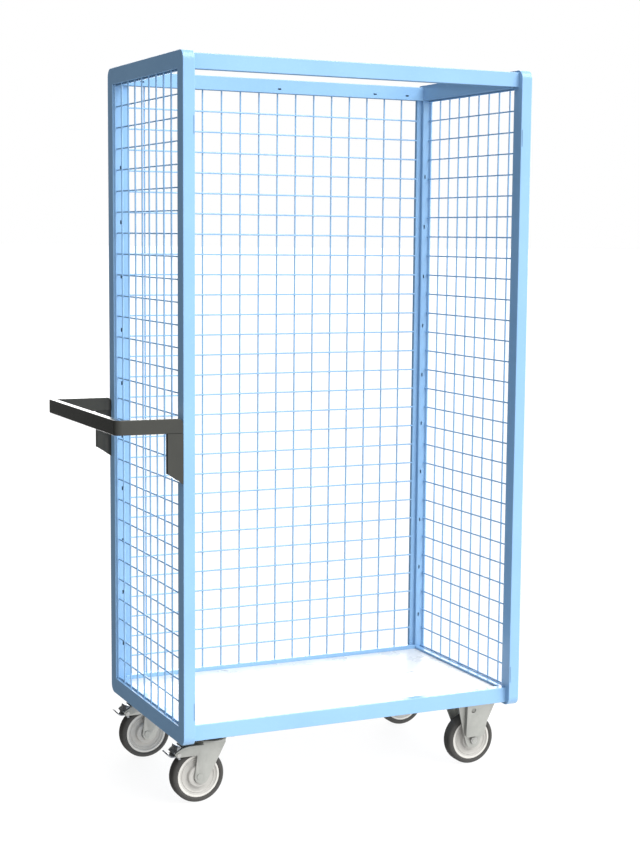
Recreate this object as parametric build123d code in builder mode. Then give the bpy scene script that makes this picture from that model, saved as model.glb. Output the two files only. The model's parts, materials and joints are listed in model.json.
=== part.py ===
from build123d import *
import os

os.makedirs("parts", exist_ok=True)

# Mesh-sided trolley, in millimetres.
# The floor is at Z = 0. X runs from the push handle to the far end, Y from the open front to the back.

# Tube frame
frame_length = 869.5
frame_depth = 532.0
frame_top = 1687.0
post_face = 37.0
post_width = 27.5
end_rail_face = 39.0
tube_wall = 1.5
tube_edge_radius = 1.5
frame_corner_radius = 21.0
frame_drop = 7.0

# Rails between the two end frames
rail_setback = 15.0
top_rail_height = 34.0
top_rail_drop = 5.5
base_rail_height = 36.5

# Welded wire mesh
mesh_pitch = 50.0
wire_diameter = 4.0
weld_sink = 0.3
end_mesh_depth = 9.5
back_mesh_setback = 27.0
stile_width = 14.0
stile_depth = 10.0

# Hook slots for shelves, and shallow grooves in the front posts
slot_length = 10.0
slot_width = 3.5
post_slot_inset = 7.75
post_slot_pitch = 130.0
post_slot_start = 196.5
rail_slot_insets = (48.0, 141.0)
rail_slot_height = 10.5
groove_length = 40.0
groove_width = 2.5
groove_depth = 0.5
groove_inset = 3.0
top_groove_drop = 120.0
base_groove_rise = 40.0

# Deck and the hat beams under it
deck_thickness = 12.0
deck_recess = 10.0
deck_clearance = 1.0
beam_sheet = 3.0
beam_lip = 12.0
castor_beam_margin = 15.0
middle_beam_web = 60.0
deck_screw_radius = 2.5
deck_screw_head_radius = 4.5
deck_screw_head_height = 3.0
deck_screw_rounding = 1.0
deck_screw_bite = 9.0
deck_screw_pitch = 150.0

# Push handle
handle_reach = 155.0
handle_bar_depth = 16.0
handle_bar_height = 33.0
handle_bottom = 862.0
handle_corner_radius = 15.0
handle_edge_radius = 2.0
handle_wall = 2.0
handle_end_block = 14.0
handle_end_radius = 12.0
bracket_reach = 36.0
bracket_thickness = 12.0
bracket_drop = 113.0
bracket_rise = 24.0
handle_screw_radius = 2.5
handle_screw_head_radius = 4.5
handle_screw_head_height = 4.0
handle_screw_bite = 11.0
handle_screw_rise = 28.0
handle_screw_margin = 2.0
screw_access_radius = 5.0

# Castors
castor_headroom = 36.0
castor_end_inset = 94.75
castor_side_inset = 80.0
plate_edge = 6.0
plate_thickness = 4.0
plate_corner_radius = 8.0
bolt_spacing_x = 80.0
bolt_spacing_y = 60.0
bolt_radius = 4.0
bolt_hole_radius = 4.5
bolt_length = 16.0
bolt_head_across = 13.0
bolt_head_height = 5.3
bolt_nut_height = 6.5
castor_sheet = 3.0
wheel_side_gap = 4.5

# Wheels and axles
wheel_diameter = 125.0
wheel_width = 32.0
tyre_thickness = 12.5
tyre_shoulder_radius = 7.0
rim_thickness = 6.0
rim_inset = 1.0
web_half_width = 11.0
hub_radius = 25.0
hub_edge_radius = 1.5
hub_play = 1.0
sleeve_radius = 8.0
axle_radius = 5.0
axle_head_radius = 7.0
axle_head_height = 1.5
axle_head_rounding = 0.7
axle_nut_across = 17.0
axle_nut_height = 6.5
axle_nut_chamfer = 1.2
axle_tip = 1.0

# Swivel head of the braked castors
swivel_trail = 36.0
head_radius = 36.0
head_thickness = 4.0
head_gap = 7.0
head_boss_radius = 31.0
head_boss_depth = 3.0
ball_radius = 4.0
ball_ring_radius = 24.0
ball_count = 16
king_radius = 6.0
king_head_radius = 10.0
king_head_height = 3.0
king_nut_across = 19.0
king_nut_height = 8.0
king_tip = 2.0

# Legs of the swivel fork, with an arm behind the wheel for the brake
leg_shoulder_drop = 9.0
leg_foot_radius = 17.0
leg_foot_shift = 5.0
leg_root_drop = 39.0
leg_root_reach = 6.0
arm_top_drop = 10.0
arm_straight_reach = 58.0
arm_tip_reach = 10.0
arm_tip_rise = 2.5
arm_heel_reach = 4.0
arm_heel_drop = 5.4

# Wheel brake
brake_pin_reach = 86.0
brake_pin_drop = 28.0
brake_pin_radius = 3.0
brake_pin_head_radius = 5.0
brake_pin_head_height = 2.0
brake_gap = 0.4
pedal_travel = 25.0
pedal_play = 2.5
pedal_hub_radius = 6.5
pedal_sheet = 3.0
pedal_reach = 25.0
pedal_rise = 4.0
pedal_sag = 6.5
lever_rise = 17.0
lever_lean = 3.0
lever_width = 10.0
lip_reach = 10.0
lip_rise = 4.5
lip_width = 4.0
shoe_width = 5.0

# Folded brackets of the fixed castors, with a rib pressed out of each leg
bracket_side_gap = 2.0
bracket_fold_radius = 3.0
bracket_knee_rise = 22.0
bracket_knee_radius = 60.0
bracket_foot_width = 31.0
bracket_foot_drop = 18.0
bracket_foot_radius = 14.0
rib_foot_width = 50.0
rib_top_width = 66.0
rib_rise = 12.0
rib_foot_rise = 12.0
rib_foot_radius = 6.0
rib_hollow_drop = 7.0
peep_radius = 6.0
peep_drop = 16.0
peep_shift = 14.0

# Fits
running_clearance = 0.06
screw_clearance = 0.05
race_clearance = 0.3

# Places worked out from the sizes above
frame_mid_x = handle_reach / 2
castor_height = wheel_diameter + castor_headroom
frame_bottom = castor_height - frame_drop
frame_mid_z = (frame_top + frame_bottom) / 2
frame_tall = frame_top - frame_bottom
inner_length = frame_length - 2 * post_width
opening_width = frame_depth - 2 * post_face
opening_tall = frame_tall - 2 * end_rail_face
opening_bottom = frame_bottom + end_rail_face
opening_top = frame_top - end_rail_face
rail_depth = post_face - rail_setback
rail_y = opening_width / 2 + rail_depth / 2
top_rail_z = frame_top - top_rail_drop - top_rail_height / 2
base_rail_z = castor_height + base_rail_height / 2
base_rail_top = castor_height + base_rail_height
deck_top = base_rail_top - deck_recess
deck_bottom = deck_top - deck_thickness
castor_spread = frame_length - 2 * castor_end_inset
castor_gauge = frame_depth - 2 * castor_side_inset
castor_beam_web = bolt_spacing_x + 2 * castor_beam_margin
wire_radius = wire_diameter / 2
wire_step = wire_diameter - weld_sink
post_slot_z = opening_top - post_slot_start
handle_width = frame_depth
handle_mid_z = handle_bottom + handle_bar_height / 2
handle_screw_y = frame_depth / 2 - tube_wall - handle_screw_head_radius - handle_screw_margin
handle_screw_heights = (handle_bottom - bracket_drop + handle_screw_rise, handle_mid_z)
handle_screw_mid_z = sum(handle_screw_heights) / 2
handle_screw_spacing = (2 * handle_screw_y, handle_screw_heights[1] - handle_screw_heights[0])
left_face_x = frame_mid_x - frame_length / 2
wheel_radius = wheel_diameter / 2
rim_radius = wheel_radius - tyre_thickness
fork_inner_half = wheel_width / 2 + wheel_side_gap
fork_half_width = fork_inner_half + castor_sheet
plate_length = bolt_spacing_x + bolt_head_across + 2 * plate_edge
plate_width = bolt_spacing_y + bolt_head_across + 2 * plate_edge
bracket_inner_half = fork_inner_half + bracket_side_gap
bracket_half_width = bracket_inner_half + castor_sheet
boss_bottom = castor_height - plate_thickness - head_boss_depth
head_top = boss_bottom - head_gap
head_bottom = head_top - head_thickness
ball_z = (boss_bottom + head_top) / 2

left_castor_x = frame_mid_x - castor_spread / 2
right_castor_x = frame_mid_x + castor_spread / 2
castor_sides = {"front": -castor_gauge / 2, "back": castor_gauge / 2}
castor_places = [(x, y) for x in (left_castor_x, right_castor_x) for y in castor_sides.values()]


def save(piece, name):
    """Label a finished piece and write its file."""
    piece.part.label = name
    export_step(piece.part, f"parts/{name}.step")


def wire_places(span, shift):
    """Wire positions at the mesh pitch, counted from the middle of a span."""
    limit = span / 2 - wire_radius
    reach = int(span / mesh_pitch)
    steps = [shift + mesh_pitch * number for number in range(-reach, reach + 1)]
    return [place for place in steps if abs(place) <= limit]


# End frames: closed rings of tube with hook slots in the back post and grooves in the front post

def end_frame(side):
    outer_x = frame_mid_x + side * frame_length / 2
    low_x = min(outer_x, outer_x - side * post_width)
    slot_x = outer_x - side * (post_width - post_slot_inset)
    groove_x = outer_x - side * (post_width - groove_inset)
    slot_count = int((post_slot_z - opening_bottom) / post_slot_pitch) + 1
    slot_heights = [post_slot_z - post_slot_pitch * number for number in range(slot_count)]
    groove_heights = (opening_top - top_groove_drop, opening_bottom + base_groove_rise)
    with BuildPart() as frame:
        with BuildSketch(Plane.YZ.offset(low_x)):
            with Locations((0, frame_mid_z)):
                RectangleRounded(frame_depth, frame_tall, frame_corner_radius)
                Rectangle(opening_width, opening_tall, mode=Mode.SUBTRACT)
        extrude(amount=post_width)
        fillet(frame.edges().filter_by(Plane.YZ), tube_edge_radius)
        with BuildSketch(Plane.YZ.offset(low_x + tube_wall)):
            with Locations((0, frame_mid_z)):
                hollow_radius = frame_corner_radius - tube_wall
                RectangleRounded(frame_depth - 2 * tube_wall, frame_tall - 2 * tube_wall, hollow_radius)
                Rectangle(opening_width + 2 * tube_wall, opening_tall + 2 * tube_wall, mode=Mode.SUBTRACT)
        extrude(amount=post_width - 2 * tube_wall, mode=Mode.SUBTRACT)
        with BuildSketch(Plane.XZ.offset(-opening_width / 2)):
            with Locations(*[(slot_x, z) for z in slot_heights]):
                SlotOverall(slot_length, slot_width, rotation=90)
        extrude(amount=-tube_wall, mode=Mode.SUBTRACT)
        with BuildSketch(Plane.XZ.offset(frame_depth / 2)):
            with Locations(*[(groove_x, z) for z in groove_heights]):
                SlotOverall(groove_length, groove_width, rotation=90)
        extrude(amount=-groove_depth, mode=Mode.SUBTRACT)
        if side < 0:
            with BuildSketch(Plane.YZ.offset(low_x)):
                with Locations((0, handle_screw_mid_z)):
                    with GridLocations(*handle_screw_spacing, 2, 2):
                        Circle(handle_screw_radius + screw_clearance)
            extrude(amount=tube_wall, mode=Mode.SUBTRACT)
            with BuildSketch(Plane.YZ.offset(low_x + post_width)):
                with Locations((0, handle_screw_mid_z)):
                    with GridLocations(*handle_screw_spacing, 2, 2):
                        Circle(screw_access_radius)
            extrude(amount=-tube_wall, mode=Mode.SUBTRACT)
    return frame


save(end_frame(-1), "left_end_frame")
save(end_frame(1), "right_end_frame")


# Rails: open tubes welded between the end frames

def rail(y, z, height):
    with BuildPart() as tube:
        with Locations((frame_mid_x, y, z)):
            Box(inner_length, rail_depth, height)
        fillet(tube.edges().filter_by(Axis.X), tube_edge_radius)
        with Locations((frame_mid_x, y, z)):
            Box(inner_length, rail_depth - 2 * tube_wall, height - 2 * tube_wall, mode=Mode.SUBTRACT)
    return tube


save(rail(-rail_y, top_rail_z, top_rail_height), "front_top_rail")
save(rail(-rail_y, base_rail_z, base_rail_height), "front_base_rail")
save(rail(rail_y, base_rail_z, base_rail_height), "rear_base_rail")

rail_slots = [0.0] + [side * (inner_length / 2 - inset) for side in (-1, 1) for inset in rail_slot_insets]
with BuildPart() as rear_top_rail:
    add(rail(rail_y, top_rail_z, top_rail_height).part)
    with BuildSketch(Plane.XZ.offset(-opening_width / 2)):
        slot_z = top_rail_z - top_rail_height / 2 + rail_slot_height
        with Locations(*[(frame_mid_x + place, slot_z) for place in rail_slots]):
            SlotOverall(slot_length, slot_width)
    extrude(amount=-tube_wall, mode=Mode.SUBTRACT)
save(rear_top_rail, "rear_top_rail")

# Wire mesh panels: rows and columns of wire, sunk into each other a little where they are welded

row_heights = [frame_mid_z + place for place in wire_places(opening_tall, mesh_pitch / 2)]
end_columns = wire_places(opening_width, mesh_pitch / 2)
row_x = left_face_x + end_mesh_depth
with BuildPart() as left_mesh:
    with BuildSketch(Plane.XY.offset(opening_bottom)):
        with Locations(*[(row_x - wire_step, place) for place in end_columns]):
            Circle(wire_radius)
    extrude(amount=opening_tall)
    with BuildSketch(Plane.XZ):
        with Locations(*[(row_x, height) for height in row_heights]):
            Circle(wire_radius)
    extrude(amount=opening_width / 2, both=True, clean=False)
save(left_mesh, "left_mesh")

with BuildPart() as right_mesh:
    mirror(left_mesh.part, about=Plane.YZ.offset(frame_mid_x))
save(right_mesh, "right_mesh")

row_y = frame_depth / 2 - back_mesh_setback
back_bottom = base_rail_top
back_top = top_rail_z - top_rail_height / 2
back_width = inner_length - 2 * stile_width
back_columns = [frame_mid_x + place for place in wire_places(back_width, 0)]
back_rows = [z for z in row_heights if back_bottom + wire_radius < z < back_top - wire_radius]
with BuildPart() as back_mesh:
    with BuildSketch(Plane.XY.offset(back_bottom)):
        with Locations(*[(place, row_y + wire_step) for place in back_columns]):
            Circle(wire_radius)
    extrude(amount=back_top - back_bottom)
    with BuildSketch(Plane.YZ.offset(frame_mid_x)):
        with Locations(*[(row_y, height) for height in back_rows]):
            Circle(wire_radius)
    extrude(amount=back_width / 2, both=True, clean=False)
save(back_mesh, "back_mesh")

for side, name in ((-1, "back_left_stile"), (1, "back_right_stile")):
    stile_x = frame_mid_x + side * (back_width + stile_width) / 2
    with BuildPart() as stile:
        with BuildSketch(Plane.XY.offset(back_bottom)):
            with Locations((stile_x, row_y - wire_radius + stile_depth / 2)):
                Rectangle(stile_width, stile_depth)
        extrude(amount=back_top - back_bottom)
        fillet(stile.edges().filter_by(Axis.Z).group_by(Axis.Y)[0], tube_wall)
    save(stile, name)

# Deck board, resting on the beams' lips, with blind holes for its screws

middle_beam_x = frame_mid_x
beam_webs = {left_castor_x: castor_beam_web, middle_beam_x: middle_beam_web, right_castor_x: castor_beam_web}
screw_columns = [x + side * (web + beam_lip) / 2 for x, web in beam_webs.items() for side in (-1, 1)]
screw_rows = (-deck_screw_pitch, 0.0, deck_screw_pitch)
screw_places = [(x, y) for x in screw_columns for y in screw_rows]

with BuildPart() as deck_board:
    with BuildSketch(Plane.XY.offset(deck_bottom)):
        with Locations((frame_mid_x, 0)):
            Rectangle(inner_length - 2 * deck_clearance, opening_width - 2 * deck_clearance)
    extrude(amount=deck_thickness)
    with BuildSketch(Plane.XY.offset(deck_bottom)):
        with Locations(*screw_places):
            Circle(deck_screw_radius + screw_clearance)
    extrude(amount=deck_screw_bite + screw_clearance, mode=Mode.SUBTRACT)
save(deck_board, "deck_board")


# Hat beams between the base rails: a flat web for the castors and two lips for the deck

def hat_beam(x, web):
    with BuildPart() as beam:
        with BuildSketch(Plane.XZ.offset(-opening_width / 2)):
            with Locations((x, castor_height)):
                Rectangle(web, deck_bottom - castor_height, align=(Align.CENTER, Align.MIN))
            with Locations((x, deck_bottom)):
                Rectangle(web + 2 * beam_lip, beam_sheet, align=(Align.CENTER, Align.MAX))
            with Locations((x, castor_height + beam_sheet)):
                trough = (web - 2 * beam_sheet, deck_bottom - castor_height)
                Rectangle(*trough, align=(Align.CENTER, Align.MIN), mode=Mode.SUBTRACT)
        extrude(amount=opening_width)
        with BuildSketch(Plane.XY.offset(deck_bottom)):
            with Locations(*[place for place in screw_places if abs(place[0] - x) < web]):
                Circle(deck_screw_radius + screw_clearance)
        extrude(amount=-beam_sheet, mode=Mode.SUBTRACT)
        for castor_x, castor_y in castor_places:
            if castor_x == x:
                with BuildSketch(Plane.XY.offset(castor_height)):
                    with Locations((castor_x, castor_y)):
                        with GridLocations(bolt_spacing_x, bolt_spacing_y, 2, 2):
                            Circle(bolt_hole_radius)
                extrude(amount=beam_sheet, mode=Mode.SUBTRACT)
    return beam


for beam_x, name in zip(beam_webs, ("left_castor_beam", "middle_beam", "right_castor_beam")):
    save(hat_beam(beam_x, beam_webs[beam_x]), name)

with BuildPart() as deck_screws:
    with BuildSketch(Plane.XY.offset(deck_bottom - beam_sheet)):
        with Locations(*screw_places):
            Circle(deck_screw_head_radius)
    extrude(amount=-deck_screw_head_height)
    fillet(deck_screws.faces().sort_by(Axis.Z)[0:len(screw_places)].edges(), deck_screw_rounding)
    with BuildSketch(Plane.XY.offset(deck_bottom - beam_sheet)):
        with Locations(*screw_places):
            Circle(deck_screw_radius)
    extrude(amount=beam_sheet + deck_screw_bite)
save(deck_screws, "deck_screws")

# Castor bolts come up from under the plates, with a nut in the beam's trough

bolt_places = [(x + dx, y + dy) for x, y in castor_places
               for dx in (-bolt_spacing_x / 2, bolt_spacing_x / 2)
               for dy in (-bolt_spacing_y / 2, bolt_spacing_y / 2)]


def plate_bottom(x):
    """Underside of the castor's plate: the fixed castors are folded from thinner sheet."""
    return castor_height - (plate_thickness if x < frame_mid_x else castor_sheet)


with BuildPart() as castor_bolts:
    for bolt_x, bolt_y in bolt_places:
        with BuildSketch(Plane.XY.offset(plate_bottom(bolt_x))):
            with Locations((bolt_x, bolt_y)):
                RegularPolygon(bolt_head_across / 2, 6, major_radius=False)
        extrude(amount=-bolt_head_height)
        with BuildSketch(Plane.XY.offset(plate_bottom(bolt_x))):
            with Locations((bolt_x, bolt_y)):
                Circle(bolt_radius)
        extrude(amount=bolt_length)
save(castor_bolts, "castor_bolts")

with BuildPart() as castor_nuts:
    with BuildSketch(Plane.XY.offset(castor_height + beam_sheet)):
        with Locations(*bolt_places):
            RegularPolygon(bolt_head_across / 2, 6, major_radius=False)
            Circle(bolt_radius + screw_clearance, mode=Mode.SUBTRACT)
    extrude(amount=bolt_nut_height)
save(castor_nuts, "castor_nuts")

# Push handle: a hollow bar bent to a U, with a bracket under each arm

handle_outer_x = left_face_x - handle_reach
inner_reach = handle_reach - handle_bar_depth
hollow_reach = handle_reach - handle_end_block
with BuildPart() as handle:
    with BuildSketch(Plane.XY.offset(handle_bottom)) as bar:
        with Locations((handle_outer_x, 0)):
            Rectangle(handle_reach, handle_width, align=(Align.MIN, Align.CENTER))
        fillet(bar.vertices().group_by(Axis.X)[0], handle_corner_radius)
        with Locations((left_face_x, 0)):
            inner_width = handle_width - 2 * handle_bar_depth
            Rectangle(inner_reach, inner_width, align=(Align.MAX, Align.CENTER), mode=Mode.SUBTRACT)
    extrude(amount=handle_bar_height)
    arm_ends = handle.edges().filter_by(Axis.Y).group_by(Axis.X)[-1]
    fillet(arm_ends.group_by(Axis.Z)[-1], handle_end_radius)
    rims = handle.faces().filter_by(Axis.Z).edges()
    bend_limit = left_face_x - handle_end_radius
    fillet(rims.filter_by_position(Axis.X, handle_outer_x, bend_limit, (True, False)), handle_edge_radius)
    for side in (-1, 1):
        with BuildSketch(Plane.XZ.offset(-side * handle_width / 2)):
            with BuildLine():
                Polyline(
                    (left_face_x, handle_bottom),
                    (left_face_x - bracket_reach, handle_bottom),
                    (left_face_x - bracket_reach, handle_bottom - bracket_drop + bracket_rise),
                    (left_face_x, handle_bottom - bracket_drop),
                    close=True,
                )
            make_face()
        extrude(amount=side * bracket_thickness)
    with BuildSketch(Plane.XY.offset(handle_bottom + handle_wall)) as hollow:
        with Locations((handle_outer_x + handle_wall, 0)):
            size = (hollow_reach - handle_wall, handle_width - 2 * handle_wall)
            Rectangle(*size, align=(Align.MIN, Align.CENTER))
        fillet(hollow.vertices().group_by(Axis.X)[0], handle_corner_radius - handle_wall)
        with Locations((left_face_x, 0)):
            size = (inner_reach + handle_wall, handle_width - 2 * handle_bar_depth + 2 * handle_wall)
            Rectangle(*size, align=(Align.MAX, Align.CENTER), mode=Mode.SUBTRACT)
    extrude(amount=handle_bar_height - 2 * handle_wall, mode=Mode.SUBTRACT)
    with BuildSketch(Plane.YZ.offset(left_face_x)):
        with Locations(*[(side * handle_screw_y, z) for side in (-1, 1) for z in handle_screw_heights]):
            Circle(handle_screw_radius + screw_clearance)
    extrude(amount=-handle_end_block, mode=Mode.SUBTRACT)
save(handle, "handle")

with BuildPart() as handle_screws:
    for side in (-1, 1):
        for screw_z in handle_screw_heights:
            with BuildSketch(Plane.YZ.offset(left_face_x + tube_wall)):
                with Locations((side * handle_screw_y, screw_z)):
                    Circle(handle_screw_head_radius)
            extrude(amount=handle_screw_head_height)
            with BuildSketch(Plane.YZ.offset(left_face_x + tube_wall)):
                with Locations((side * handle_screw_y, screw_z)):
                    Circle(handle_screw_radius)
            extrude(amount=-tube_wall - handle_screw_bite)
save(handle_screws, "handle_screws")


# Planes for the castors

def upright(y):
    """Upright plane that faces the open front, at a distance along Y: local x is X and local y is Z."""
    return Plane.XZ.offset(-y)


def side_plane(x, y):
    """Upright plane through a castor: local x from the castor's middle, local y up from the floor."""
    return Plane((x, y, 0), x_dir=(1, 0, 0), z_dir=(0, -1, 0))


def axle_plane(x, y):
    """Upright plane along an axle: local x along the axle, local y out from its middle."""
    return Plane((x, y, wheel_radius), x_dir=(0, 1, 0), z_dir=(1, 0, 0))


def axle_line(x, y):
    return Axis((x, y, wheel_radius), (0, 1, 0))


# Wheels: a hard core with a raised rim and hub, a rubber tyre and a steel sleeve on the axle

def wheel_core(x, y):
    bore = sleeve_radius + running_clearance
    hub_half = fork_inner_half - hub_play
    rim_half = wheel_width / 2 - rim_inset
    with BuildPart() as core:
        with BuildSketch(axle_plane(x, y)):
            with Locations((0, bore)):
                Rectangle(2 * hub_half, hub_radius - bore, align=(Align.CENTER, Align.MIN))
                Rectangle(2 * web_half_width, rim_radius - bore, align=(Align.CENTER, Align.MIN))
            with Locations((0, rim_radius)):
                Rectangle(2 * rim_half, rim_thickness, align=(Align.CENTER, Align.MAX))
        revolve(axis=axle_line(x, y))
        circles = core.edges().filter_by(GeomType.CIRCLE)
        hub_rims = circles.filter_by(lambda edge: abs(edge.radius - hub_radius) < screw_clearance)
        fillet(hub_rims, hub_edge_radius)
    return core


def tyre(x, y):
    with BuildPart() as rubber:
        with BuildSketch(axle_plane(x, y)) as section:
            with Locations((0, rim_radius)):
                Rectangle(wheel_width, tyre_thickness, align=(Align.CENTER, Align.MIN))
            fillet(section.vertices().group_by(Axis.Y)[-1], tyre_shoulder_radius)
        revolve(axis=axle_line(x, y))
    return rubber


def axle_sleeve(x, y, half_length):
    with BuildPart() as sleeve:
        with BuildSketch(upright(y)):
            with Locations((x, wheel_radius)):
                Circle(sleeve_radius)
                Circle(axle_radius + screw_clearance, mode=Mode.SUBTRACT)
        extrude(amount=half_length, both=True)
    return sleeve


def axle(x, y, seat, head_side):
    """Axle bolt with a low round head on one leg's seat and a tip for the nut on the other's."""
    head_face = upright(y + head_side * seat)
    with BuildPart() as bolt:
        with BuildSketch(head_face):
            with Locations((x, wheel_radius)):
                Circle(axle_head_radius)
        extrude(amount=-head_side * axle_head_height)
        outer_face = bolt.faces().sort_by(Axis.Y)[-1 if head_side > 0 else 0]
        fillet(outer_face.edges(), axle_head_rounding)
        with BuildSketch(head_face):
            with Locations((x, wheel_radius)):
                Circle(axle_radius)
        extrude(amount=head_side * (2 * seat + axle_nut_height + axle_tip))
    return bolt


def axle_nut(x, y, seat, head_side):
    with BuildPart() as nut:
        with BuildSketch(upright(y - head_side * seat)):
            with Locations((x, wheel_radius)):
                RegularPolygon(axle_nut_across / 2, 6, major_radius=False)
                Circle(axle_radius + screw_clearance, mode=Mode.SUBTRACT)
        extrude(amount=head_side * axle_nut_height)
        outer_face = nut.faces().sort_by(Axis.Y)[0 if head_side > 0 else -1]
        chamfer(outer_face.edges().filter_by(GeomType.LINE), axle_nut_chamfer)
    return nut


def save_wheel(corner, x, y, inner_half, seat, head_side):
    save(wheel_core(x, y), f"{corner}_wheel_core")
    save(tyre(x, y), f"{corner}_tyre")
    save(axle_sleeve(x, y, inner_half), f"{corner}_axle_sleeve")
    save(axle(x, y, seat, head_side), f"{corner}_axle")
    save(axle_nut(x, y, seat, head_side), f"{corner}_axle_nut")


# Swivel castors with a brake, at the handle end

def castor_plate(x, y):
    with BuildPart() as plate:
        with BuildSketch(Plane.XY.offset(castor_height)):
            with Locations((x, y)):
                RectangleRounded(plate_length, plate_width, plate_corner_radius)
                with GridLocations(bolt_spacing_x, bolt_spacing_y, 2, 2):
                    Circle(bolt_hole_radius, mode=Mode.SUBTRACT)
        extrude(amount=-plate_thickness)
        with BuildSketch(Plane.XY.offset(boss_bottom)):
            with Locations((x, y)):
                Circle(head_boss_radius)
        extrude(amount=head_boss_depth)
        with Locations((x, y, ball_z)):
            Torus(ball_ring_radius, ball_radius + race_clearance, mode=Mode.SUBTRACT)
        with Locations((x, y, castor_height)):
            king_seat = king_head_radius + screw_clearance
            CounterBoreHole(king_radius + screw_clearance, king_seat, king_head_height)
    return plate


def king_bolt(x, y):
    king_end = head_bottom - race_clearance - king_nut_height - king_tip
    with BuildPart() as bolt:
        with BuildSketch(Plane.XY.offset(castor_height)):
            with Locations((x, y)):
                Circle(king_head_radius)
        extrude(amount=-king_head_height)
        with BuildSketch(Plane.XY.offset(king_end)):
            with Locations((x, y)):
                Circle(king_radius)
        extrude(amount=castor_height - king_end)
    return bolt


def king_nut(x, y):
    with BuildPart() as nut:
        with BuildSketch(Plane.XY.offset(head_bottom - race_clearance)):
            with Locations((x, y)):
                RegularPolygon(king_nut_across / 2, 6, major_radius=False)
                Circle(king_radius + screw_clearance, mode=Mode.SUBTRACT)
        extrude(amount=-king_nut_height)
    return nut


def bearing_balls(x, y):
    with BuildPart() as balls:
        with Locations((x, y, ball_z)):
            with PolarLocations(ball_ring_radius, ball_count):
                Sphere(ball_radius)
    return balls


pin_x = -brake_pin_reach
pin_z = head_top - brake_pin_drop


def swivel_fork(x, y):
    head_half = (head_radius ** 2 - fork_half_width ** 2) ** 0.5
    root = (-swivel_trail - leg_root_reach, head_top - leg_root_drop)
    shoulder = (head_half, head_top - leg_shoulder_drop)
    arm_top = head_top - arm_top_drop
    arm_tip = (pin_x - arm_tip_reach, pin_z + arm_tip_rise)
    arm_heel = (pin_x - arm_heel_reach, pin_z - arm_heel_drop)
    with BuildPart() as fork:
        with BuildSketch(side_plane(x, y)) as leg:
            with BuildLine():
                CenterArc((leg_foot_shift - swivel_trail, wheel_radius), leg_foot_radius, 0, 360)
                Line(root, shoulder)
            make_hull()
            with BuildLine():
                crown = TangentArc((-arm_straight_reach, arm_top), arm_tip, tangent=(-1, 0))
                Polyline(crown @ 1, arm_heel, (root[0], arm_heel[1]), root, shoulder, (head_half, head_top))
                Polyline((head_half, head_top), (-head_half, head_top), (-head_half, arm_top), crown @ 0)
            make_face()
        extrude(amount=fork_half_width, both=True)
        extrude(leg.sketch, amount=fork_inner_half, both=True, mode=Mode.SUBTRACT)
        with BuildSketch(Plane.XY.offset(head_bottom)):
            with Locations((x, y)):
                Circle(head_radius)
        extrude(amount=head_thickness)
        with Locations((x, y, ball_z)):
            Torus(ball_ring_radius, ball_radius + screw_clearance, mode=Mode.SUBTRACT)
        with Locations((x, y, head_top)):
            Hole(king_radius + running_clearance)
        with BuildSketch(side_plane(x, y)):
            with Locations((-swivel_trail, wheel_radius)):
                Circle(axle_radius + screw_clearance)
            with Locations((pin_x, pin_z)):
                Circle(brake_pin_radius + screw_clearance)
        extrude(amount=fork_half_width, both=True, mode=Mode.SUBTRACT)
    return fork


def brake_pin(x, y):
    with BuildPart() as pin:
        with BuildSketch(upright(y)):
            with Locations((x + pin_x, pin_z)):
                Circle(brake_pin_radius)
        extrude(amount=fork_half_width, both=True)
        for side in (-1, 1):
            with BuildSketch(upright(y + side * fork_half_width)):
                with Locations((x + pin_x, pin_z)):
                    Circle(brake_pin_head_radius)
            extrude(amount=-side * brake_pin_head_height)
    return pin


def brake_pedal(x, y):
    """Tread, lip, lever and shoe on one hub: pressing the tread turns the shoe towards the tyre."""
    pin = Vector(pin_x, pin_z)
    to_axle = Vector(-swivel_trail, wheel_radius) - pin
    shoe_reach = to_axle.length - wheel_radius - brake_gap
    shoe_tip = pin + to_axle.normalized().rotate(Axis.Z, -pedal_travel) * shoe_reach
    tread_tip = pin + Vector(-pedal_reach, pedal_rise)
    tread_low = (pin + tread_tip) / 2 - Vector(0, pedal_sag)
    with BuildPart() as pedal:
        with BuildSketch(side_plane(x, y)):
            with Locations(pin):
                Circle(pedal_hub_radius)
            with BuildLine():
                ThreePointArc(pin, tread_low, tread_tip)
            trace(line_width=pedal_sheet)
            with BuildLine():
                Line(pin, pin + Vector(lever_lean, lever_rise))
            trace(line_width=lever_width)
            with BuildLine():
                Line(pin, pin + Vector(-lip_reach, lip_rise))
            trace(line_width=lip_width)
            with BuildLine():
                Line(pin, shoe_tip)
            trace(line_width=shoe_width)
            with Locations(pin):
                Circle(brake_pin_radius + running_clearance, mode=Mode.SUBTRACT)
        extrude(amount=fork_inner_half - pedal_play, both=True)
    return pedal


for depth_name, castor_y in castor_sides.items():
    corner = f"{depth_name}_left"
    save(castor_plate(left_castor_x, castor_y), f"{corner}_castor_plate")
    save(king_bolt(left_castor_x, castor_y), f"{corner}_king_bolt")
    save(king_nut(left_castor_x, castor_y), f"{corner}_king_nut")
    save(bearing_balls(left_castor_x, castor_y), f"{corner}_bearing_balls")
    save(swivel_fork(left_castor_x, castor_y), f"{corner}_fork")
    save(brake_pin(left_castor_x, castor_y), f"{corner}_brake_pin")
    save(brake_pedal(left_castor_x, castor_y), f"{corner}_brake_pedal")
    save_wheel(corner, left_castor_x - swivel_trail, castor_y, fork_inner_half, fork_half_width, head_side=-1)


# Fixed castors at the far end

bracket_foot_z = wheel_radius - bracket_foot_drop
rib_foot_z = wheel_radius + rib_foot_rise
bracket_knee_z = wheel_radius + bracket_knee_rise
bracket_leg_y = bracket_half_width - castor_sheet / 2
bracket_shoulder_y = (plate_width - castor_sheet) / 2


def lean(z):
    """Distance of a leg's sheet from the wheel's middle, above the knee."""
    share = (z - bracket_knee_z) / (castor_height - castor_sheet / 2 - bracket_knee_z)
    return bracket_leg_y + share * (bracket_shoulder_y - bracket_leg_y)


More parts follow.
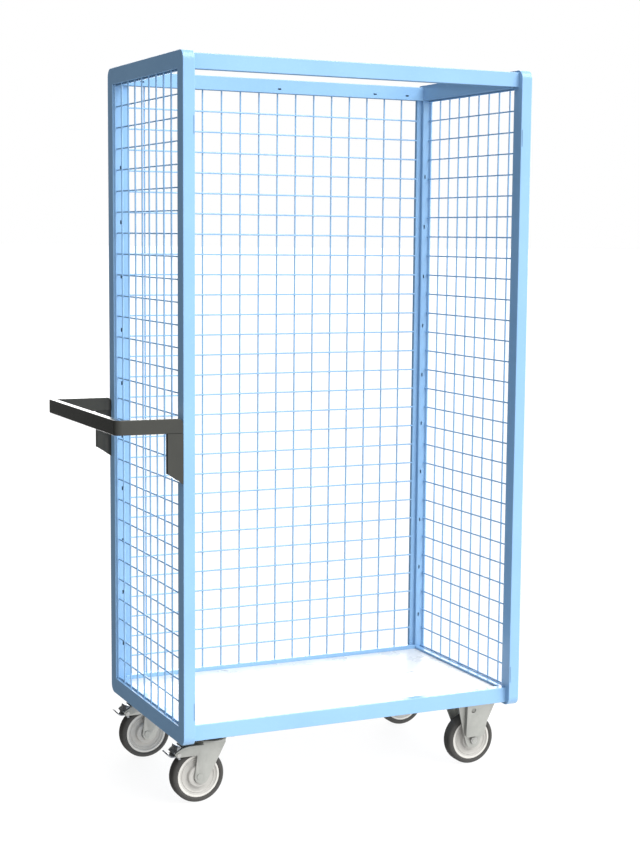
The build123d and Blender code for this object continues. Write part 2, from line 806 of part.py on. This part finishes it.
rib_reach = castor_sheet / 2 + rib_rise
bracket_top_width = 2 * (lean(castor_height) + rib_reach)


def leg_outline(x, y, foot_width, top_width, foot_z, foot_radius):
    """Solid that tapers from the plate down to a rounded foot, to trim a leg or a rib."""
    with BuildPart() as outline:
        with BuildSketch(side_plane(x, y)) as side:
            with BuildLine():
                Polyline(
                    (-top_width / 2, castor_height),
                    (top_width / 2, castor_height),
                    (foot_width / 2, foot_z),
                    (-foot_width / 2, foot_z),
                    close=True,
                )
            make_face()
            fillet(side.vertices().group_by(Axis.Y)[0], foot_radius)
        extrude(amount=bracket_top_width, both=True)
    return outline.part


def bracket_ribs(x, y):
    """One raised panel on each leg, from just above the axle to the plate."""
    across = Plane((x, y, 0), x_dir=(0, 1, 0), z_dir=(1, 0, 0))
    with BuildPart() as ribs:
        with BuildSketch(across) as section:
            for side in (-1, 1):
                with BuildLine():
                    Polyline(
                        (side * bracket_leg_y, rib_foot_z),
                        (side * (bracket_leg_y + rib_reach), rib_foot_z),
                        (side * (bracket_leg_y + rib_reach), bracket_knee_z),
                        (side * (lean(castor_height) + rib_reach), castor_height),
                        (side * lean(castor_height), castor_height),
                        (side * bracket_leg_y, bracket_knee_z),
                        close=True,
                    )
                make_face()
            fillet(section.vertices().group_by(Axis.Y)[1], bracket_knee_radius)
        extrude(amount=rib_top_width / 2, both=True)
        outline = leg_outline(x, y, rib_foot_width, rib_top_width, rib_foot_z, rib_foot_radius)
        add(outline, mode=Mode.INTERSECT)
    return ribs.part


def fixed_bracket(x, y):
    """Sheet folded over the wheel: a plate on top and two tapering legs, each with a pressed rib."""
    sheet_top = castor_height - castor_sheet / 2
    hollow_bottom = rib_foot_z + castor_sheet
    hollow_top = castor_height - rib_hollow_drop
    hollow_skin = rib_rise - castor_sheet / 2
    bend_radii = (bracket_knee_radius, bracket_fold_radius)
    across = Plane((x, y, 0), x_dir=(0, 1, 0), z_dir=(1, 0, 0))
    with BuildPart() as bracket:
        with BuildSketch(across):
            with BuildLine():
                FilletPolyline(
                    (-bracket_leg_y, bracket_foot_z),
                    (-bracket_leg_y, bracket_knee_z),
                    (-bracket_shoulder_y, sheet_top),
                    (bracket_shoulder_y, sheet_top),
                    (bracket_leg_y, bracket_knee_z),
                    (bracket_leg_y, bracket_foot_z),
                    radius=[*bend_radii, *reversed(bend_radii)],
                )
            trace(line_width=castor_sheet)
        extrude(amount=plate_length / 2, both=True)
        add(bracket_ribs(x, y))
        outline = leg_outline(x, y, bracket_foot_width, plate_length, bracket_foot_z, bracket_foot_radius)
        add(outline, mode=Mode.INTERSECT)
        with BuildSketch(across):
            with BuildLine():
                Polyline(
                    (-lean(hollow_bottom) - hollow_skin, hollow_bottom),
                    (lean(hollow_bottom) + hollow_skin, hollow_bottom),
                    (lean(hollow_top) + hollow_skin, hollow_top),
                    (-lean(hollow_top) - hollow_skin, hollow_top),
                    close=True,
                )
            make_face()
        extrude(amount=rib_foot_width / 2 - castor_sheet, both=True, mode=Mode.SUBTRACT)
        with BuildSketch(Plane.XY.offset(castor_height)):
            with Locations((x, y)):
                RectangleRounded(plate_length, bracket_top_width, plate_corner_radius)
        extrude(amount=-castor_sheet)
        with BuildSketch(side_plane(x, y)):
            with Locations((0, wheel_radius)):
                Circle(axle_radius + screw_clearance)
            with Locations((-peep_shift, castor_height - peep_drop)):
                Circle(peep_radius)
        extrude(amount=bracket_top_width, both=True, mode=Mode.SUBTRACT)
        with Locations((x, y, castor_height)):
            with GridLocations(bolt_spacing_x, bolt_spacing_y, 2, 2):
                Hole(bolt_hole_radius, depth=castor_sheet)
    return bracket


for depth_name, castor_y in castor_sides.items():
    corner = f"{depth_name}_right"
    save(fixed_bracket(right_castor_x, castor_y), f"{corner}_castor_bracket")
    save_wheel(corner, right_castor_x, castor_y, bracket_inner_half, bracket_half_width, head_side=1)
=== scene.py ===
import json
import math

import bpy
from mathutils import Matrix, Vector


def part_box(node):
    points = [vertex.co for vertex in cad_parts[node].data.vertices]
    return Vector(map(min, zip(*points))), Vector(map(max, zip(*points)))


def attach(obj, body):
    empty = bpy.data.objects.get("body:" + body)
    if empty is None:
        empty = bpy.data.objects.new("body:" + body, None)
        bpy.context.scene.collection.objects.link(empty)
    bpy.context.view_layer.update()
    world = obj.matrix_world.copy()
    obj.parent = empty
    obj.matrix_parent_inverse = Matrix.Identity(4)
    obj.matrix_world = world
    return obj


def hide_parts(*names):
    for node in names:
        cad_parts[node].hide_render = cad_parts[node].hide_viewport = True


# Mesh-sided trolley: finishes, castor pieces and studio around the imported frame, in metres.

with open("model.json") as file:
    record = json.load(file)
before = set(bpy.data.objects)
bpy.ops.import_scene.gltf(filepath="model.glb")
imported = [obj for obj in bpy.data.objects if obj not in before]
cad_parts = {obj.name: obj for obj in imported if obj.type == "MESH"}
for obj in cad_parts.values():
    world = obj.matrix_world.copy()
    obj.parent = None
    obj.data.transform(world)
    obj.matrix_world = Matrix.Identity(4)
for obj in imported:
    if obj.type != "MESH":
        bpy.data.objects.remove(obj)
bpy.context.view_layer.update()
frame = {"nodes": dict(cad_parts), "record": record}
nodes = frame["nodes"]

# The photograph's camera: its place, its turn from looking along +Y, and its picture in pixels
camera_place = Vector((-1.6132, -3.7432, 1.2900))
camera_yaw = math.radians(26.111)
camera_pitch = math.radians(-6.901)
camera_roll = math.radians(0.667)
picture_width = 640
picture_height = 855
focal_pixels = 1692.64
principal_x = 367.52
principal_y = 443.17
sensor_long_side = 36.0

# Floor
floor_size = 400.0
floor_grey = (0.07, 0.07, 0.07)
floor_haze_grey = (0.0714, 0.0714, 0.0714)
floor_haze_size = 0.8
floor_roughness = 0.9
floor_glow = 0.90

# Light all round: dim towards the handle, bright towards the far end
backdrop_white = (1.0, 1.0, 1.0, 1.0)
bright_direction = Vector((0.944, -0.330, 0.0))
dim_strength = 0.05
bright_strength = 1.5
dim_end = -0.62
bright_end = 0.6
# Lit patches: each one's direction, its strength, and the cosines at its edge and where it is full
lit_patches = (
    ("backdrop", Vector((math.sin(camera_yaw), math.cos(camera_yaw), 0.0)), 4.0, 0.88, 0.955),
    ("ground", Vector((0.0, 0.0, -1.0)), 0.45, 0.4, 0.8),
    ("handle side", Vector((-0.80, -0.52, 0.30)), 0.62, 0.6, 0.9),
)
key_azimuth = math.radians(32.0)
key_elevation = math.radians(50.0)
key_strength = 3.4
key_spread = math.radians(50.0)

# Shades of the finishes, against the plain coat or plastic, and the gloss of the coats and the board; the
# deeper shades on the groove floors and on the undersides are painted shade
groove_floor_painted_shade = 0.65
underside_painted_shade = 0.56
hub_shade = 1.2
rim_shade = 1.65
coat_gloss = 0.35
underside_gloss = 0.0

# Wheels: ring by ring in from the rim, each ring's width and its step out (or in, where negative)
wheel_sides = 96
rim_half_width = 0.015
rim_face_width = 0.0048
core_rings = (
    ("rim face", rim_face_width, 0.0),
    ("groove wall", 0.0008, -0.0016),
    ("groove floor", 0.0012, 0.0),
    ("dished band", 0.0022, -0.0014),
    ("ridge rise", 0.0015, 0.0012),
    ("ridge top", 0.0012, 0.0),
    ("ridge fall", 0.0015, -0.0015),
    ("web", 0.0105, -0.0007),
    ("hub wall", 0.0013, 0.0075),
    ("hub chamfer", 0.0015, 0.0010),
    ("hub face", 0.0090, 0.0),
    ("seal wall", 0.0012, -0.0012),
    ("seal floor", 0.0030, 0.0),
    ("bush wall", 0.0012, 0.0012),
    ("bush face", 0.00104, 0.0),
)
tyre_shoulder = 0.007
tyre_shoulder_steps = 6
tyre_rings = (
    ("bead rise", 0.0006, 0.0004),
    ("bead top", 0.0008, 0.0),
    ("bead fall", 0.0006, -0.0004),
    ("side wall", 0.0025, 0.0),
    ("lip", 0.0004, -0.0006),
    ("rim seat", 0.0006, 0.0),
)
wheel_edge_round = 0.0003

# Depth of the grooves in the front posts
groove_depth = 0.0005

# Rounded edges of the pressed castor parts and of the board
pressing_round = 0.0007
board_round = 0.0012
round_steps = 2
soft_edge_angle = math.radians(40.0)
smooth_angle = math.radians(35.0)
flat_angle = math.radians(0.6)
merge_distance = 0.000002

# How nearly a face has to point along an axis to count as a drum's end, a groove's floor or an underside
drum_end_cosine = 0.9999
groove_floor_cosine = 0.99
underside_cosine = 0.9

# Nodes that repeat
sides = ("front", "back")
corners = ("front_left", "back_left", "front_right", "back_right")
end_frames = ("left_end_frame", "right_end_frame")
rails = ("front_top_rail", "rear_top_rail", "front_base_rail", "rear_base_rail")


# Shader nodes

def fill(tree, node, inputs):
    """Link each input that is given as another node's output, and set the others."""
    for label, value in inputs.items():
        socket = node.inputs[label.replace("_", " ")]
        if isinstance(value, bpy.types.NodeSocket):
            tree.links.new(value, socket)
        else:
            socket.default_value = value


def put(tree, kind, **inputs):
    """Add a node with its inputs."""
    node = tree.nodes.new("ShaderNode" + kind)
    fill(tree, node, inputs)
    return node


def join(tree, shader, **inputs):
    """Give a shader its inputs."""
    fill(tree, shader, inputs)


def grain(tree, place, size, detail=2.0, roughness=0.5):
    """Noise whose blotches are about this many metres wide."""
    noise = put(tree, "TexNoise", Vector=place, Scale=1.0 / size, Detail=detail, Roughness=roughness)
    return noise.outputs["Fac"]


def spread(tree, value, low, high, start=0.35, end=0.65):
    """Map a stretch of a value, or else the middle of a noise, to a range of plain numbers."""
    node = put(tree, "MapRange", Value=value, From_Min=start, From_Max=end, To_Min=low, To_Max=high)
    return node.outputs["Result"]


def tint(tree, share, first, second):
    """Mix two colours, each given as a colour or as another node's output."""
    node = tree.nodes.new("ShaderNodeMix")
    node.data_type = "RGBA"
    for socket, value in ((node.inputs[0], share), (node.inputs[6], first), (node.inputs[7], second)):
        if isinstance(value, bpy.types.NodeSocket):
            tree.links.new(value, socket)
        else:
            socket.default_value = (*value, 1.0)
    return node.outputs[2]


def mottled(tree, noise, deep, pale):
    """A colour that wanders between two with a noise."""
    return tint(tree, spread(tree, noise, 0.0, 1.0), deep, pale)


def shaded(shade, colour):
    """A colour made deeper or paler by a factor."""
    return [shade * value for value in colour]


def relief(tree, height, depth, strength):
    """Bump of a real depth in metres."""
    return put(tree, "Bump", Height=height, Distance=depth, Strength=strength).outputs["Normal"]


def stretched(tree, place, scale):
    """Object coordinates pulled along an axis, for a drawn grain."""
    return put(tree, "Mapping", Vector=place, Scale=scale).outputs["Vector"]


def start_finish(name):
    """An empty principled material with its Object coordinates."""
    material = bpy.data.materials.new(name)
    material.use_nodes = True
    tree = material.node_tree
    place = tree.nodes.new("ShaderNodeTexCoord").outputs["Object"]
    return material, tree, tree.nodes["Principled BSDF"], place


# Finishes

def blue_powder_coat(name, shade, gloss):
    """Powder coat with orange peel and an uneven film, paler in flecks where it thins."""
    material, tree, shader, place = start_finish(name)
    film = grain(tree, place, size=0.16, detail=3.0)
    peel = grain(tree, place, size=0.0016, detail=1.0)
    fleck = grain(tree, place, size=0.012, detail=4.0, roughness=0.7)
    thick = shaded(shade, (0.222, 0.402, 0.634))
    even = shaded(shade, (0.238, 0.425, 0.658))
    thin = shaded(shade, (0.300, 0.490, 0.700))
    thinning = spread(tree, fleck, low=0.0, high=0.35, start=0.58, end=0.75)
    join(
        tree, shader,
        Base_Color=tint(tree, thinning, mottled(tree, film, thick, even), thin),
        Roughness=spread(tree, fleck, low=0.16, high=0.24),
        Normal=relief(tree, peel, depth=0.00006, strength=0.3),
        Specular_IOR_Level=gloss,
    )
    return material


def white_laminate():
    """Glossy white melamine with the fine pearl texture of a board's face."""
    material, tree, shader, place = start_finish("white_laminate")
    pearl = grain(tree, place, size=0.0012)
    smudge = grain(tree, place, size=0.09, detail=4.0, roughness=0.6)
    join(
        tree, shader,
        Base_Color=mottled(tree, smudge, (0.79, 0.795, 0.79), (0.83, 0.835, 0.83)),
        Roughness=spread(tree, smudge, low=0.24, high=0.34),
        Normal=relief(tree, pearl, depth=0.00003, strength=0.4),
        Specular_IOR_Level=coat_gloss,
    )
    return material


def black_powder_coat():
    """Black powder coat with a fine sanded texture, rubbed smoother in patches."""
    material, tree, shader, place = start_finish("black_powder_coat")
    sand = grain(tree, place, size=0.0009)
    rub = grain(tree, place, size=0.05, detail=3.0, roughness=0.6)
    join(
        tree, shader,
        Base_Color=mottled(tree, rub, (0.032, 0.033, 0.029), (0.036, 0.037, 0.032)),
        Roughness=spread(tree, rub, low=0.14, high=0.20),
        Normal=relief(tree, sand, depth=0.00004, strength=0.3),
        Specular_IOR_Level=coat_gloss,
    )
    return material


def zinc_plate():
    """Dull bright zinc on pressed sheet: cloudy, with faint drawing marks."""
    material, tree, shader, place = start_finish("zinc_plate")
    cloud = grain(tree, place, size=0.022, detail=4.0, roughness=0.65)
    drawn = grain(tree, stretched(tree, place, (1.0, 1.0, 0.06)), size=0.0011, detail=3.0)
    join(
        tree, shader,
        Base_Color=mottled(tree, cloud, (0.33, 0.336, 0.315), (0.39, 0.392, 0.370)),
        Metallic=0.7,
        Roughness=spread(tree, cloud, low=0.42, high=0.56),
        Normal=relief(tree, drawn, depth=0.00004, strength=0.35),
    )
    return material


def fastener_zinc():
    """Bright zinc on nuts, bolts and pins, with handling marks."""
    material, tree, shader, place = start_finish("fastener_zinc")
    mark = grain(tree, place, size=0.004, detail=4.0, roughness=0.7)
    join(
        tree, shader,
        Base_Color=mottled(tree, mark, (0.36, 0.36, 0.35), (0.46, 0.46, 0.45)),
        Metallic=1.0,
        Roughness=spread(tree, mark, low=0.24, high=0.40),
        Normal=relief(tree, mark, depth=0.00003, strength=0.4),
    )
    return material


def bearing_steel():
    """Polished balls under a thin uneven film of grease."""
    material, tree, shader, place = start_finish("bearing_steel")
    grease = grain(tree, place, size=0.003, detail=3.0)
    join(
        tree, shader,
        Base_Color=mottled(tree, grease, (0.55, 0.55, 0.54), (0.70, 0.70, 0.70)),
        Metallic=1.0,
        Roughness=spread(tree, grease, low=0.08, high=0.22),
    )
    return material


def dark_brake_plate():
    """Dark plated spring steel, polished on its tread by shoes."""
    material, tree, shader, place = start_finish("dark_brake_plate")
    rub = grain(tree, place, size=0.008, detail=4.0, roughness=0.6)
    join(
        tree, shader,
        Base_Color=mottled(tree, rub, (0.18, 0.19, 0.205), (0.30, 0.31, 0.325)),
        Metallic=0.6,
        Roughness=spread(tree, rub, low=0.14, high=0.26),
        Normal=relief(tree, rub, depth=0.00005, strength=0.4),
    )
    return material


def hub_plastic(name, shade):
    """Warm grey moulded plastic with a fine spark texture, in the shade of the hub or of the rim."""
    material, tree, shader, place = start_finish(name)
    spark = grain(tree, place, size=0.0008)
    flow = grain(tree, place, size=0.03, detail=3.0, roughness=0.6)
    deep = shaded(shade, (0.320, 0.313, 0.295))
    pale = shaded(shade, (0.360, 0.353, 0.332))
    join(
        tree, shader,
        Base_Color=mottled(tree, flow, deep, pale),
        Roughness=spread(tree, flow, low=0.38, high=0.50),
        Normal=relief(tree, spark, depth=0.00004, strength=0.4),
    )
    return material


def tyre_rubber():
    """Dark grey non-marking rubber, dusty where it rolls."""
    material, tree, shader, place = start_finish("tyre_rubber")
    pore = grain(tree, place, size=0.0007)
    dust = grain(tree, place, size=0.014, detail=5.0, roughness=0.7)
    join(
        tree, shader,
        Base_Color=mottled(tree, dust, (0.032, 0.031, 0.029), (0.052, 0.050, 0.046)),
        Roughness=spread(tree, dust, low=0.62, high=0.82),
        Normal=relief(tree, pore, depth=0.00006, strength=0.6),
    )
    return material


finishes = {
    "blue_paint": blue_powder_coat("blue_powder_coat", 1.0, coat_gloss),
    "white_board": white_laminate(),
    "black_paint": black_powder_coat(),
    "zinc_steel": zinc_plate(),
    "fastener_steel": fastener_zinc(),
    "bearing_steel": bearing_steel(),
    "brake_steel": dark_brake_plate(),
    "grey_plastic": hub_plastic("hub_plastic", hub_shade),
    "grey_rubber": tyre_rubber(),
}
rim_finish = hub_plastic("rim_plastic", rim_shade)
# A deeper blue painted on the floors of the front posts' grooves: painted shade.
painted_shade_on_groove_floors = blue_powder_coat("blue_painted_shade_of_grooves", groove_floor_painted_shade, coat_gloss)
# A deeper blue without gloss painted on the undersides of the end frames and rails: painted shade.
painted_shade_on_undersides = blue_powder_coat("blue_painted_shade_of_undersides", underside_painted_shade, underside_gloss)


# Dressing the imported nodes

def dress_cad_nodes():
    """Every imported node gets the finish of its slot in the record."""
    for subpart in frame["record"]["subparts"]:
        nodes[subpart["node"]].data.materials.clear()
        nodes[subpart["node"]].data.materials.append(finishes[subpart["material_slot"]])


def coat_faces(mesh, finish, test):
    """Give a further finish to the faces of a mesh that pass a test."""
    mesh.materials.append(finish)
    for face in mesh.polygons:
        if test(face):
            face.material_index = len(mesh.materials) - 1


def colour_groove_floors_in_painted_shade():
    """The floors of the shallow grooves in the front posts get a deeper blue: painted shade."""
    for name in end_frames:
        low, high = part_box(name)

        def is_groove_floor(face):
            depth = face.center.y - low.y
            return face.normal.y < -groove_floor_cosine and abs(depth - groove_depth) < groove_depth / 2

        coat_faces(nodes[name].data, painted_shade_on_groove_floors, is_groove_floor)


def is_underside(face):
    """Whether a face points down."""
    return face.normal.z < -underside_cosine


def colour_undersides_in_painted_shade():
    """The undersides of the end frames and the rails get a deeper blue without gloss: painted shade."""
    for name in end_frames + rails:
        coat_faces(nodes[name].data, painted_shade_on_undersides, is_underside)


# Modelling

def middle_of(node):
    """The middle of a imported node's box."""
    low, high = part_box(node)
    return (low + high) / 2


def pick_faces(piece, test):
    """Select, in edit mode, the faces that pass a test."""
    bpy.ops.object.mode_set(mode="EDIT")
    bpy.ops.mesh.select_mode(type="FACE")
    bpy.ops.mesh.select_all(action="DESELECT")
    bpy.ops.object.mode_set(mode="OBJECT")
    for face in piece.data.polygons:
        face.select = test(face)
    bpy.ops.object.mode_set(mode="EDIT")


def is_drum_end(face):
    """Whether a face is one of the two flat ends of a drum along Y."""
    return abs(face.normal.y) > drum_end_cosine


def drum(name, middle, radius, width):
    """A plain cylinder along Y, ready to be shaped."""
    bpy.ops.object.select_all(action="DESELECT")
    bpy.ops.mesh.primitive_cylinder_add(
        vertices=wheel_sides, radius=radius, depth=width, location=middle, rotation=(math.pi / 2, 0.0, 0.0))
    piece = bpy.context.object
    piece.name = name
    bpy.ops.object.transform_apply(location=True, rotation=True, scale=True)
    return piece


def turn_rings(piece, rings):
    """Shape both ends of a drum ring by ring, then open its bore."""
    pick_faces(piece, is_drum_end)
    for label, width, step in rings:
        bpy.ops.mesh.inset(thickness=width, depth=step)
    bpy.ops.mesh.delete(type="ONLY_FACE")
    bpy.ops.mesh.select_mode(type="EDGE")
    bpy.ops.mesh.select_all(action="DESELECT")
    bpy.ops.mesh.select_non_manifold(extend=False, use_wire=False, use_multi_face=False, use_verts=False)
    bpy.ops.mesh.bridge_edge_loops()
    bpy.ops.mesh.select_all(action="SELECT")
    bpy.ops.mesh.normals_make_consistent(inside=False)


def rounded_edges(piece, width):
    """Round the sharp edges of a piece and smooth its curved faces."""
    bpy.ops.object.mode_set(mode="OBJECT")
    bevel = piece.modifiers.new("rounded_edges", "BEVEL")
    bevel.width = width
    bevel.segments = round_steps
    bevel.limit_method = "ANGLE"
    bevel.angle_limit = soft_edge_angle
    bevel.miter_outer = "MITER_ARC"
    bpy.ops.object.modifier_apply(modifier=bevel.name)
    bpy.ops.object.shade_smooth_by_angle(angle=smooth_angle)


def model_wheel_core(node):
    """Moulded core: rim, groove, ridge, web and hub on both sides."""
    low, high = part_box(node)
    piece = drum(node + "_moulded", middle_of(node), (high.z - low.z) / 2, 2 * rim_half_width)
    turn_rings(piece, core_rings)
    rounded_edges(piece, wheel_edge_round)
    return piece


def model_tyre(node):
    """Tyre with round shoulders and a moulded bead on each side."""
    low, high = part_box(node)
    piece = drum(node + "_moulded", middle_of(node), (high.z - low.z) / 2, high.y - low.y)
    pick_faces(piece, is_drum_end)
    bpy.ops.mesh.region_to_loop()
    bpy.ops.mesh.bevel(offset=tyre_shoulder, segments=tyre_shoulder_steps, affect="EDGES")
    turn_rings(piece, tyre_rings)
    rounded_edges(piece, wheel_edge_round)
    return piece


def copy_to(piece, name, shift):
    """A copy of a finished piece with a mesh of its own, moved to another corner."""
    copy = bpy.data.objects.new(name, piece.data.copy())
    copy.data.transform(Matrix.Translation(shift))
    bpy.context.scene.collection.objects.link(copy)
    return copy


def settle(piece, body, node, slot):
    """Give a finished piece its finish and its body, and hide the imported node that it stands for."""
    piece.data.materials.clear()
    piece.data.materials.append(finishes[slot])
    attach(piece, body)
    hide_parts(node)


def mould_at_corners(part, slot, model):
    """Model a wheel's part at the first castor, copy it to the others, and return it by its node."""
    first_node = corners[0] + part
    first = model(first_node)
    pieces = {first_node: first}
    for corner in corners[1:]:
        node = corner + part
        pieces[node] = copy_to(first, node + "_moulded", middle_of(node) - middle_of(first_node))
    for corner in corners:
        settle(pieces[corner + part], corner + "_wheel", corner + part, slot)
    return pieces


def brighten_rim(core, node):
    """The rim's edge is a paler grey than the rest of the core."""
    middle = middle_of(node)
    low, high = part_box(node)
    rim_inside = (high.z - low.z) / 2 - rim_face_width

    def is_on_rim(face):
        across = face.center - middle
        return math.hypot(across.x, across.z) > rim_inside

    coat_faces(core.data, rim_finish, is_on_rim)


def mould_wheels():
    """Each castor's wheel: a core with a bright rim, and a tyre."""
    cores = mould_at_corners("_wheel_core", "grey_plastic", model_wheel_core)
    for node, core in cores.items():
        brighten_rim(core, node)
    mould_at_corners("_tyre", "grey_rubber", model_tyre)


def softened(node, width):
    """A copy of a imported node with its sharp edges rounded."""
    piece = bpy.data.objects.new(node + "_rounded", nodes[node].data.copy())
    bpy.context.scene.collection.objects.link(piece)
    bpy.ops.object.select_all(action="DESELECT")
    piece.select_set(True)
    bpy.context.view_layer.objects.active = piece
    bpy.ops.mesh.customdata_custom_splitnormals_clear()
    bpy.ops.object.mode_set(mode="EDIT")
    bpy.ops.mesh.select_all(action="SELECT")
    bpy.ops.mesh.remove_doubles(threshold=merge_distance)
    bpy.ops.mesh.dissolve_limited(angle_limit=flat_angle)
    rounded_edges(piece, width)
    return piece


def round_pressings():
    """Forks, pedals, plates and brackets get the rounded edges of pressed sheet."""
    for side in sides:
        left = side + "_left"
        right = side + "_right"
        for node, body, slot in (
            (left + "_fork", left + "_swivel", "zinc_steel"),
            (left + "_brake_pedal", left + "_brake", "brake_steel"),
            (left + "_castor_plate", "frame", "zinc_steel"),
            (right + "_castor_bracket", "frame", "zinc_steel"),
        ):
            settle(softened(node, pressing_round), body, node, slot)


def round_board():
    """The deck board's edges are eased."""
    settle(softened("deck_board", board_round), "frame", "deck_board", "white_board")


# Studio

def pale_floor():
    """A plain floor, pale by its own glow, that neither lights nor shades the trolley."""
    bpy.ops.object.select_all(action="DESELECT")
    bpy.ops.mesh.primitive_plane_add(size=floor_size)
    floor = bpy.context.object
    floor.name = "floor"
    material, tree, shader, place = start_finish("pale_floor")
    haze = grain(tree, place, floor_haze_size, detail=3.0)
    join(
        tree, shader,
        Base_Color=mottled(tree, haze, floor_grey, floor_haze_grey),
        Roughness=floor_roughness,
        Emission_Color=backdrop_white,
        Emission_Strength=floor_glow,
    )
    floor.data.materials.append(material)
    floor.visible_diffuse = False
    floor.visible_glossy = False
    floor.visible_shadow = False


def facing(tree, direction, towards):
    """How far a direction points towards another."""
    node = tree.nodes.new("ShaderNodeVectorMath")
    node.operation = "DOT_PRODUCT"
    tree.links.new(direction, node.inputs[0])
    node.inputs[1].default_value = towards
    return node.outputs["Value"]


def total(tree, first, second):
    """The sum of two values."""
    node = tree.nodes.new("ShaderNodeMath")
    node.operation = "ADD"
    tree.links.new(first, node.inputs[0])
    tree.links.new(second, node.inputs[1])
    return node.outputs["Value"]


def studio_world():
    """White all round for the camera; as light it is dim towards the handle and bright towards the far end.

    Patches of it are lit: the backdrop, which the upper faces mirror, the ground and the handle side.
    """
    world = bpy.data.worlds.new("studio")
    bpy.context.scene.world = world
    world.use_nodes = True
    tree = world.node_tree
    direction = tree.nodes.new("ShaderNodeTexCoord").outputs["Generated"]
    across = facing(tree, direction, bright_direction)
    level = spread(tree, across, dim_strength, bright_strength, dim_end, bright_end)
    for label, towards, patch_strength, edge, full in lit_patches:
        patch = spread(tree, facing(tree, direction, towards), 0.0, patch_strength, edge, full)
        level = total(tree, level, patch)
    seen = tree.nodes.new("ShaderNodeLightPath").outputs["Is Camera Ray"]
    strength = put(tree, "MapRange", Value=seen, To_Min=level, To_Max=1.0)
    join(tree, tree.nodes["Background"], Color=backdrop_white, Strength=strength.outputs["Result"])


def key_light():
    """A broad soft sun from the front, above and to the right."""
    light = bpy.data.lights.new("key_light", "SUN")
    light.energy = key_strength
    light.angle = key_spread
    lamp = bpy.data.objects.new("key_light", light)
    bpy.context.scene.collection.objects.link(lamp)
    source = Vector((
        math.cos(key_elevation) * math.sin(key_azimuth),
        -math.cos(key_elevation) * math.cos(key_azimuth),
        math.sin(key_elevation),
    ))
    lamp.rotation_euler = source.to_track_quat("Z", "Y").to_euler()


def photograph_camera():
    """The camera stands where the photograph was taken from."""
    forward = Vector((
        math.sin(camera_yaw) * math.cos(camera_pitch),
        math.cos(camera_yaw) * math.cos(camera_pitch),
        math.sin(camera_pitch),
    ))
    level = Vector((math.cos(camera_yaw), -math.sin(camera_yaw), 0.0))
    right = level * math.cos(camera_roll) + level.cross(forward) * math.sin(camera_roll)
    up = right.cross(forward)
    lens = bpy.data.cameras.new("photograph_camera")
    lens.sensor_width = sensor_long_side
    lens.lens = focal_pixels * sensor_long_side / picture_height
    lens.shift_x = (picture_width / 2 - principal_x) / picture_height
    lens.shift_y = (principal_y - picture_height / 2) / picture_height
    camera = bpy.data.objects.new("photograph_camera", lens)
    bpy.context.scene.collection.objects.link(camera)
    turn = Matrix((right, up, -forward)).transposed().to_4x4()
    camera.matrix_world = Matrix.Translation(camera_place) @ turn
    bpy.context.scene.camera = camera


dress_cad_nodes()
colour_groove_floors_in_painted_shade()
colour_undersides_in_painted_shade()
mould_wheels()
round_pressings()
round_board()
pale_floor()
studio_world()
key_light()
photograph_camera()
bpy.context.scene.view_settings.view_transform = "Standard"
